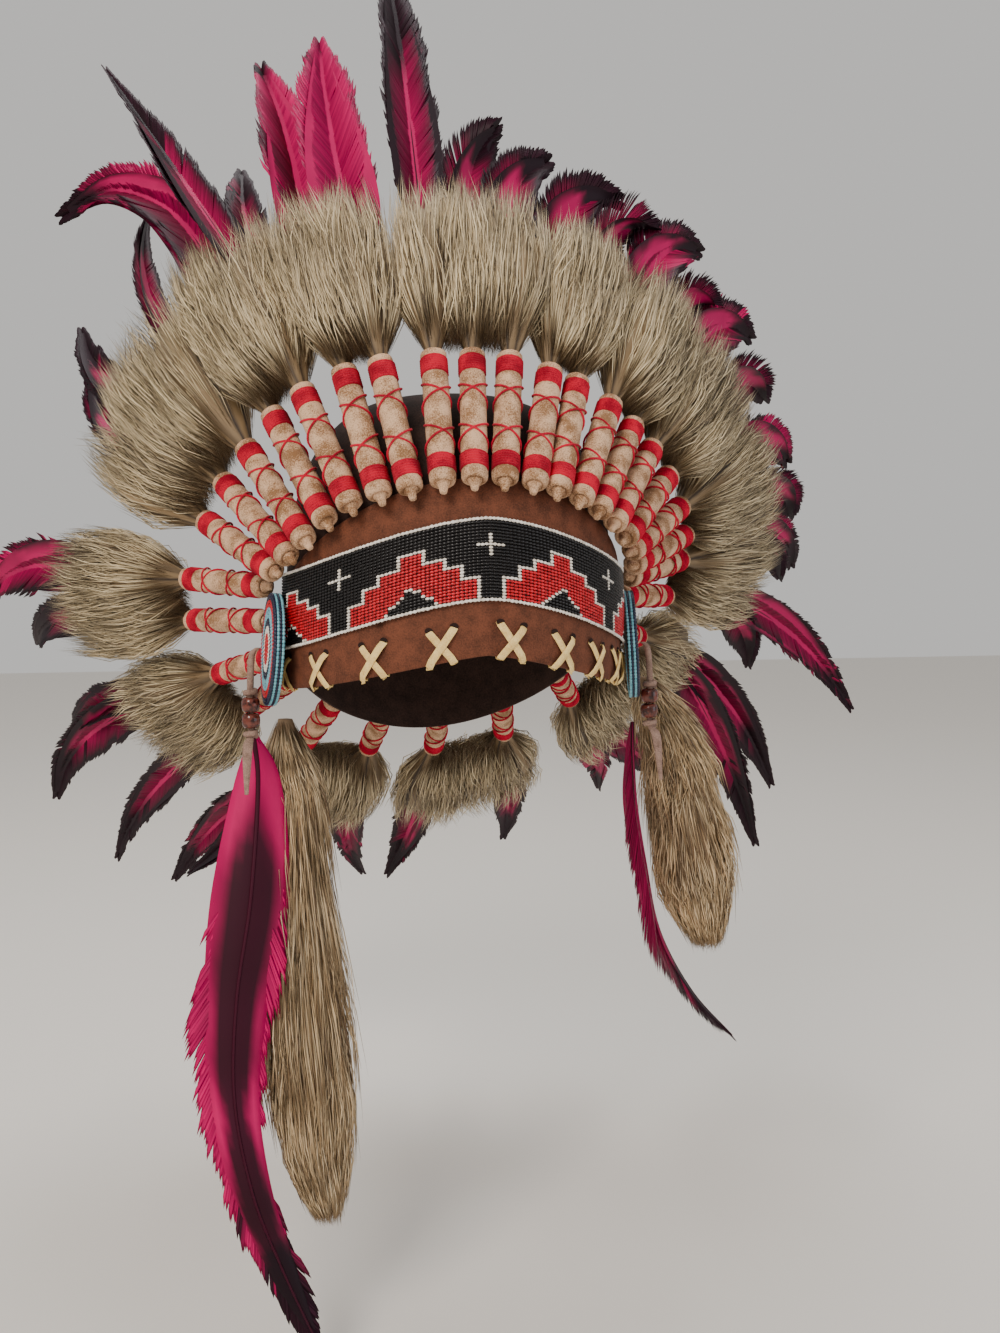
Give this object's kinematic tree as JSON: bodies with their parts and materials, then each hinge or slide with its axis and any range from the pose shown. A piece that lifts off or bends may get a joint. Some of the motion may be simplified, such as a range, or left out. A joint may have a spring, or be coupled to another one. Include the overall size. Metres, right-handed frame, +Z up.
{
  "type": "feathered headdress",
  "caption": "Feathered headdress: leather cap and beaded brow band, felt-wrapped quills with fur tufts and dyed cock feathers, and side drops of beads, feathers and fur.",
  "frame": {"origin": "the crown of the wearer's head, at the inside top of the cap", "axes": "+Z up, the wearer looks along -Y, +X on the wearer's left"},
  "size_m": [0.6209, 0.4585, 0.7156],
  "materials": {
    "cap_leather": "dark brown suede",
    "band_leather": "brown suede leather",
    "beadwork": "loomed glass seed beads in black, red and white",
    "lace": "pale flat leather lace",
    "rosette_beads": "glass seed beads in turquoise, navy, red and white",
    "felt": "rolled wool felt with red thread",
    "plume": "long fur with dyed cock feathers",
    "suede": "grey brown suede thong",
    "drop_bead": "copper brown glazed beads",
    "vane": "dyed cock feather, pink and dark plum"
  },
  "bodies": {
    "root": {"bead_strip": "beadwork", "brow_band": "band_leather", "cap": "cap_leather", "drop_bead_left_lower": "drop_bead", "drop_bead_left_upper": "drop_bead", "drop_bead_right_lower": "drop_bead", "drop_bead_right_upper": "drop_bead", "drop_feather_left": "vane", "drop_feather_right": "vane", "drop_thong_left": "suede", "drop_thong_right": "suede", "edge_lacing": "lace", "fur_tail_left": "plume", "fur_tail_right": "plume", "plume_01": "plume", "plume_02": "plume", "plume_03": "plume", "plume_04": "plume", "plume_05": "plume", "plume_06": "plume", "plume_07": "plume", "plume_08": "plume", "plume_09": "plume", "plume_10": "plume", "plume_11": "plume", "plume_12": "plume", "plume_13": "plume", "plume_14": "plume", "rosette_left": "rosette_beads", "rosette_right": "rosette_beads", "stick_01": "felt", "stick_02": "felt", "stick_03": "felt", "stick_04": "felt", "stick_05": "felt", "stick_06": "felt", "stick_07": "felt", "stick_08": "felt", "stick_09": "felt", "stick_10": "felt", "stick_11": "felt", "stick_12": "felt", "stick_13": "felt", "stick_14": "felt", "stick_15": "felt", "stick_16": "felt", "stick_17": "felt", "stick_18": "felt", "stick_19": "felt", "stick_20": "felt", "stick_21": "felt", "stick_22": "felt", "stick_23": "felt", "stick_24": "felt", "stick_25": "felt", "stick_26": "felt", "stick_27": "felt", "stick_28": "felt", "stick_29": "felt", "stick_30": "felt"}
  },
  "joints": []
}
